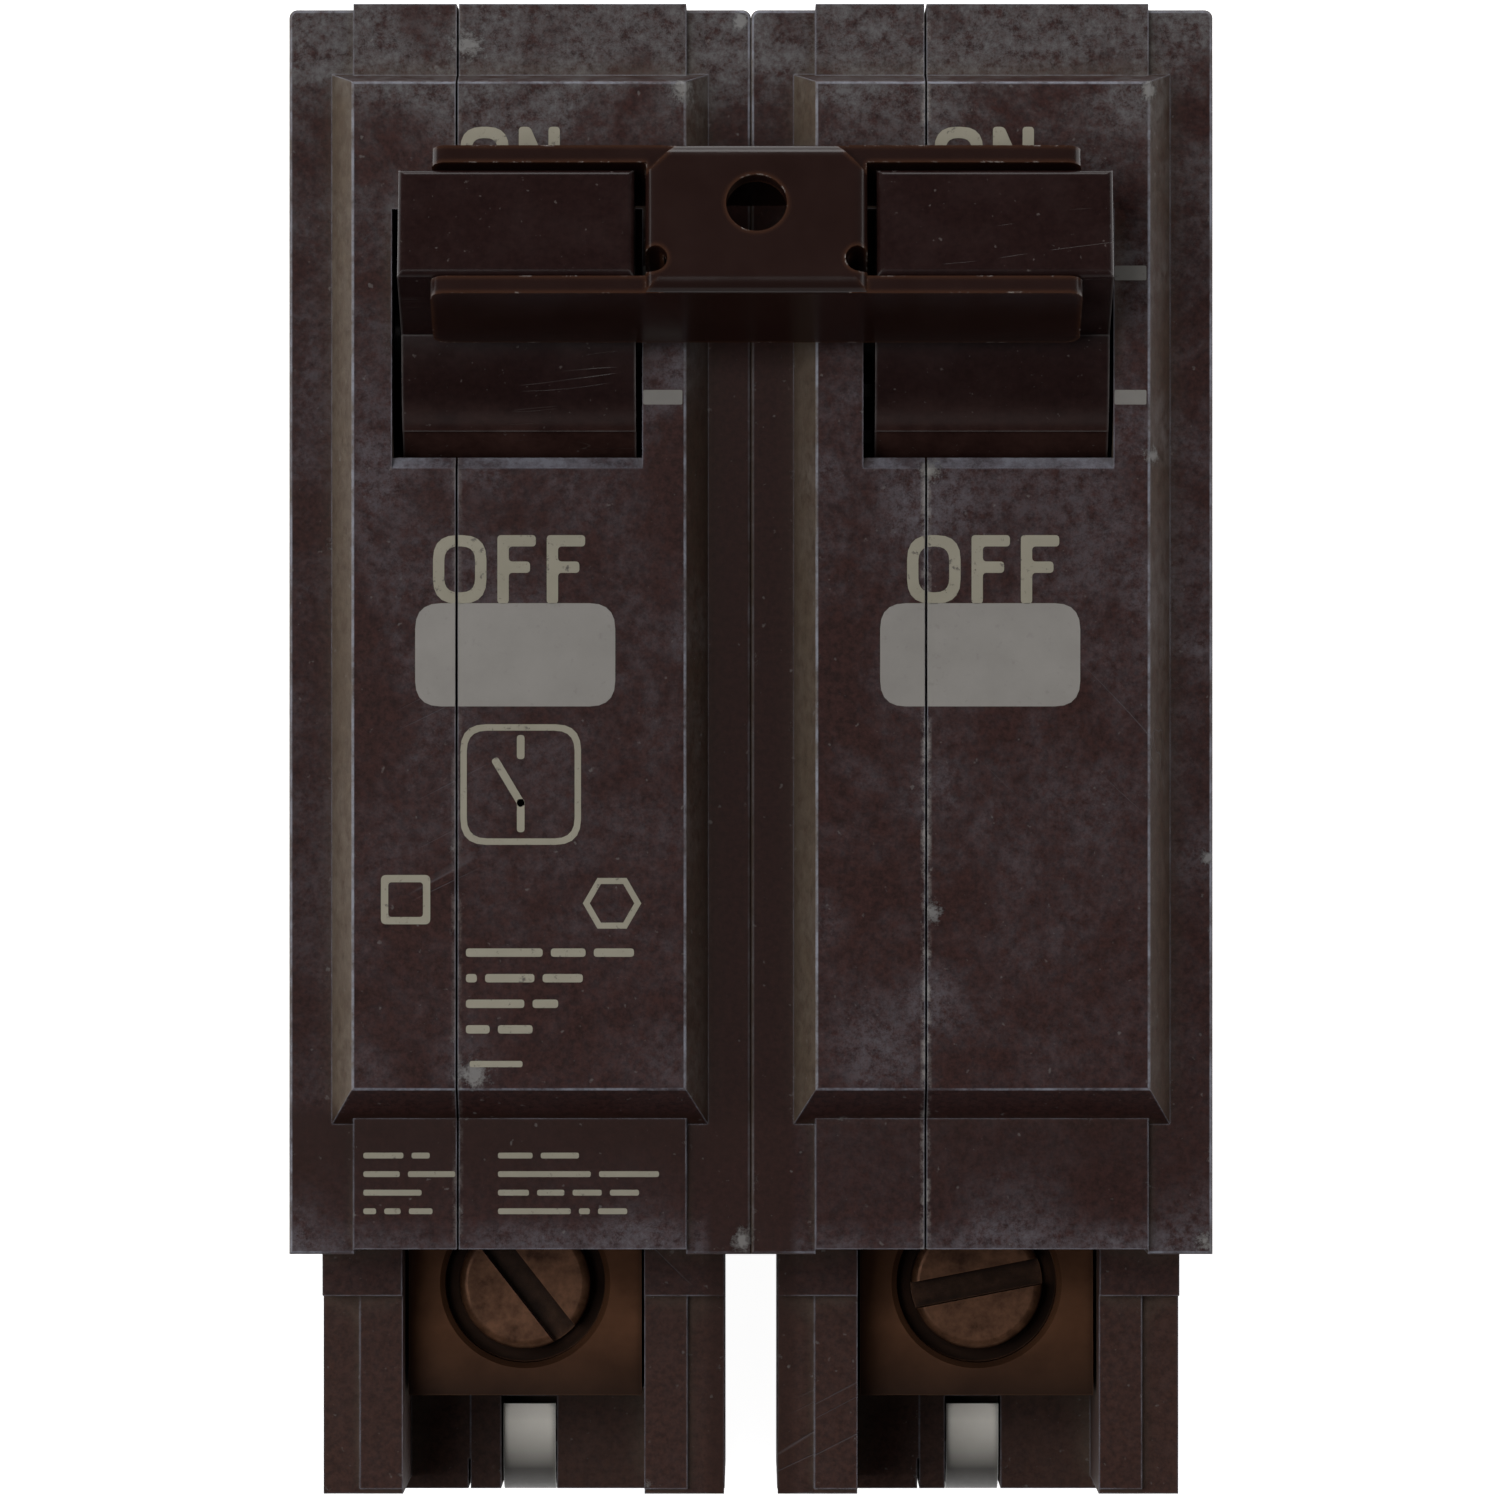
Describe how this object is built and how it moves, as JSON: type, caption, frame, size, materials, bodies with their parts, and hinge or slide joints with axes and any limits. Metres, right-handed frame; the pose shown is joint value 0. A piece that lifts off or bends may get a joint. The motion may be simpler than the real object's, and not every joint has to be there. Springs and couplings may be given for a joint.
{
  "type": "circuit breaker",
  "caption": "Two-pole plug-in circuit breaker in a dark brown case, with tied toggle handles, screw lugs for the load wires and stab jaws for the panel bus.",
  "frame": {"origin": "centre of the breaker's footprint, on the plane of its back", "axes": "+X across the poles, +Y towards the line end (the ON side), +Z out of the front, where the handles are"},
  "size_m": [0.0508, 0.0836, 0.0616],
  "materials": {
    "case_phenolic": "dark brown moulded phenolic, dusty and scuffed at its edges",
    "handle_plastic": "dark brown moulded plastic, half gloss",
    "tie_paint": "bent sheet with glossy dark maroon paint",
    "plated_copper": "tinned copper strip, dulled",
    "silver_alloy": "silver alloy contact face",
    "spring_steel": "drawn spring steel",
    "magnet_steel": "stamped plated steel",
    "bimetal_strip": "rolled bimetal strip",
    "fibre_board": "red-brown vulcanised fibre",
    "braid_copper": "woven bare copper braid",
    "lug_metal": "plated box lug, tarnished brown",
    "screw_steel": "slotted screw, tarnished brown plating",
    "rail_clip_steel": "bright plated spring strip",
    "trip_bar_steel": "plated steel bar",
    "rivet_steel": "plated steel rivets",
    "pad_print": "grey-cream printing on the case, worn",
    "blank_label": "plain grey printed patches and bars"
  },
  "bodies": {
    "case": {"case_base_a": "case_phenolic", "case_cover_a": "case_phenolic", "fixed_contact_a": "silver_alloy", "line_terminal_a": "plated_copper", "line_jaw_a": "plated_copper", "jaw_spring_a": "spring_steel", "arc_plates_a": "magnet_steel", "arc_chute_sides_a": "fibre_board", "cradle_pin_a": "spring_steel", "bimetal_a": "bimetal_strip", "magnet_yoke_a": "magnet_steel", "armature_spring_a": "spring_steel", "load_strap_a": "plated_copper", "braid_a": "braid_copper", "lug_a": "lug_metal", "rail_clip_a": "rail_clip_steel", "calibration_screw_a": "screw_steel", "case_base_b": "case_phenolic", "case_cover_b": "case_phenolic", "fixed_contact_b": "silver_alloy", "line_terminal_b": "plated_copper", "line_jaw_b": "plated_copper", "jaw_spring_b": "spring_steel", "arc_plates_b": "magnet_steel", "arc_chute_sides_b": "fibre_board", "cradle_pin_b": "spring_steel", "bimetal_b": "bimetal_strip", "magnet_yoke_b": "magnet_steel", "armature_spring_b": "spring_steel", "load_strap_b": "plated_copper", "braid_b": "braid_copper", "lug_b": "lug_metal", "rail_clip_b": "rail_clip_steel", "calibration_screw_b": "screw_steel", "case_rivets": "rivet_steel"},
    "handles": {"handle_a": "handle_plastic", "handle_b": "handle_plastic", "handle_tie": "tie_paint"},
    "trip_bar": {"trip_bar": "trip_bar_steel"},
    "contact_arm_a": {"contact_arm_a": "plated_copper", "moving_contact_a": "silver_alloy", "operating_spring_a": "spring_steel"},
    "cradle_a": {"cradle_a": "magnet_steel"},
    "armature_a": {"armature_a": "magnet_steel"},
    "terminal_screw_a": {"terminal_screw_a": "screw_steel"},
    "contact_arm_b": {"contact_arm_b": "plated_copper", "moving_contact_b": "silver_alloy", "operating_spring_b": "spring_steel"},
    "cradle_b": {"cradle_b": "magnet_steel"},
    "armature_b": {"armature_b": "magnet_steel"},
    "terminal_screw_b": {"terminal_screw_b": "screw_steel"}
  },
  "joints": [
    {"name": "handle_throw", "type": "hinge", "parent": "case", "child": "handles", "pos_m": [0, 0.0233, 0.0445], "axis": [1, 0, 0], "range_deg": [0, 36]},
    {"name": "trip_bar_turn", "type": "hinge", "parent": "case", "child": "trip_bar", "pos_m": [0, 0.0015, 0.011], "axis": [1, 0, 0], "range_deg": [0, 16], "stiffness_Nm_per_rad": 0.002},
    {"name": "contact_arm_swing_a", "type": "hinge", "parent": "handles", "child": "contact_arm_a", "pos_m": [-0.0127, 0.02142, 0.03933], "axis": [1, 0, 0], "range_deg": [-60, 0], "deforming": ["operating_spring_a", "braid_a"]},
    {"name": "cradle_trip_a", "type": "hinge", "parent": "case", "child": "cradle_a", "pos_m": [-0.0127, 0.034, 0.033], "axis": [1, 0, 0], "range_deg": [0, 20]},
    {"name": "armature_pull_a", "type": "hinge", "parent": "case", "child": "armature_a", "pos_m": [-0.0127, -0.0035, 0.041], "axis": [-1, 0, 0], "range_deg": [0, 5], "stiffness_Nm_per_rad": 0.002, "deforming": ["armature_spring_a"]},
    {"name": "terminal_screw_turn_a", "type": "hinge", "parent": "case", "child": "terminal_screw_a", "pos_m": [-0.0127, -0.0297, 0.0345], "axis": [0, 0, 1], "continuous": true},
    {"name": "contact_arm_swing_b", "type": "hinge", "parent": "handles", "child": "contact_arm_b", "pos_m": [0.0127, 0.02142, 0.03933], "axis": [1, 0, 0], "range_deg": [-60, 0], "deforming": ["operating_spring_b", "braid_b"]},
    {"name": "cradle_trip_b", "type": "hinge", "parent": "case", "child": "cradle_b", "pos_m": [0.0127, 0.034, 0.033], "axis": [1, 0, 0], "range_deg": [0, 20]},
    {"name": "armature_pull_b", "type": "hinge", "parent": "case", "child": "armature_b", "pos_m": [0.0127, -0.0035, 0.041], "axis": [-1, 0, 0], "range_deg": [0, 5], "stiffness_Nm_per_rad": 0.002, "deforming": ["armature_spring_b"]},
    {"name": "terminal_screw_turn_b", "type": "hinge", "parent": "case", "child": "terminal_screw_b", "pos_m": [0.0127, -0.0297, 0.0345], "axis": [0, 0, 1], "continuous": true}
  ],
  "couplings": [
    {"joint": "contact_arm_swing_a", "follows": "handle_throw", "ratio": -1.66},
    {"joint": "armature_pull_a", "follows": "trip_bar_turn", "ratio": 0.3125},
    {"joint": "contact_arm_swing_b", "follows": "handle_throw", "ratio": -1.66},
    {"joint": "armature_pull_b", "follows": "trip_bar_turn", "ratio": 0.3125},
    {"joint": "cradle_trip_b", "follows": "cradle_trip_a", "ratio": 1}
  ]
}
